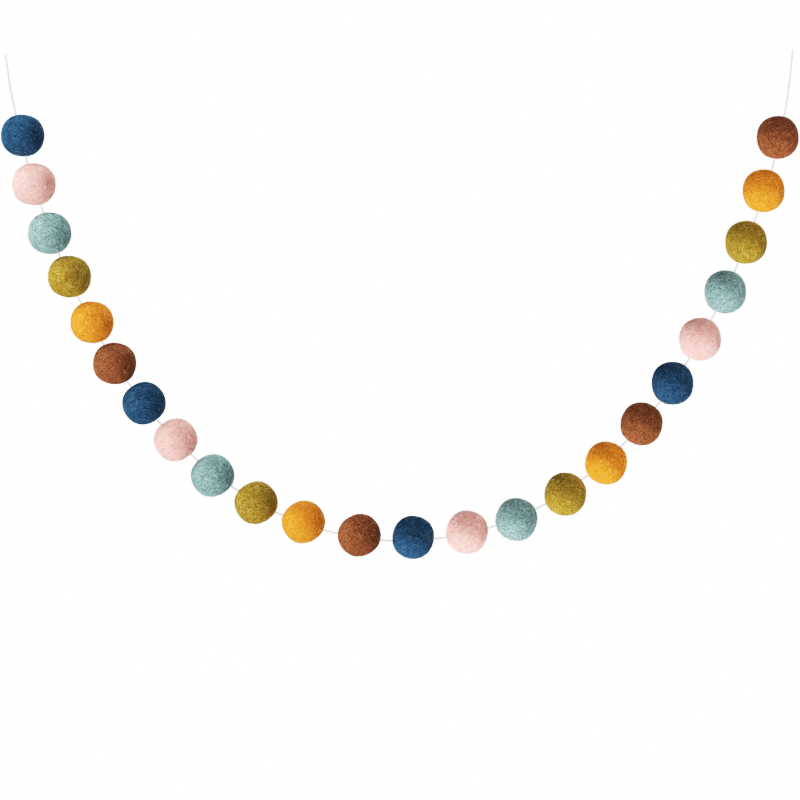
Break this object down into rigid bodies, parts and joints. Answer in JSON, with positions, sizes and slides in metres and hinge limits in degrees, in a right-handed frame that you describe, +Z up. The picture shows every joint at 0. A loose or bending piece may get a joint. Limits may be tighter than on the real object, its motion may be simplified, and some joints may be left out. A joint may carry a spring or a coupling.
{
  "type": "felt ball garland",
  "caption": "Garland of round felted wool balls in repeating colours, threaded on a thin cotton string that hangs in a deep curve from its two bare ends.",
  "frame": {"origin": "the left end of the string, where the garland is tied or pinned up", "axes": "+X to the right towards the string's other end, +Z up, and the garland hangs in the XZ plane with its front facing -Y"},
  "size_m": [0.4682, 0.0252, 0.2988],
  "materials": {
    "felt_blue": "matte wool felt",
    "felt_pink": "matte wool felt",
    "felt_teal": "matte wool felt",
    "felt_olive": "matte wool felt",
    "felt_yellow": "matte wool felt",
    "felt_brown": "matte wool felt",
    "cotton_string": "matte twisted cotton"
  },
  "bodies": {
    "root": {"ball_01_blue": "felt_blue", "ball_02_pink": "felt_pink", "ball_03_teal": "felt_teal", "ball_04_olive": "felt_olive", "ball_05_yellow": "felt_yellow", "ball_06_brown": "felt_brown", "ball_07_blue": "felt_blue", "ball_08_pink": "felt_pink", "ball_09_teal": "felt_teal", "ball_10_olive": "felt_olive", "ball_11_yellow": "felt_yellow", "ball_12_brown": "felt_brown", "ball_13_blue": "felt_blue", "ball_14_pink": "felt_pink", "ball_15_teal": "felt_teal", "ball_16_olive": "felt_olive", "ball_17_yellow": "felt_yellow", "ball_18_brown": "felt_brown", "ball_19_blue": "felt_blue", "ball_20_pink": "felt_pink", "ball_21_teal": "felt_teal", "ball_22_olive": "felt_olive", "ball_23_yellow": "felt_yellow", "ball_24_brown": "felt_brown", "string": "cotton_string"}
  },
  "joints": []
}
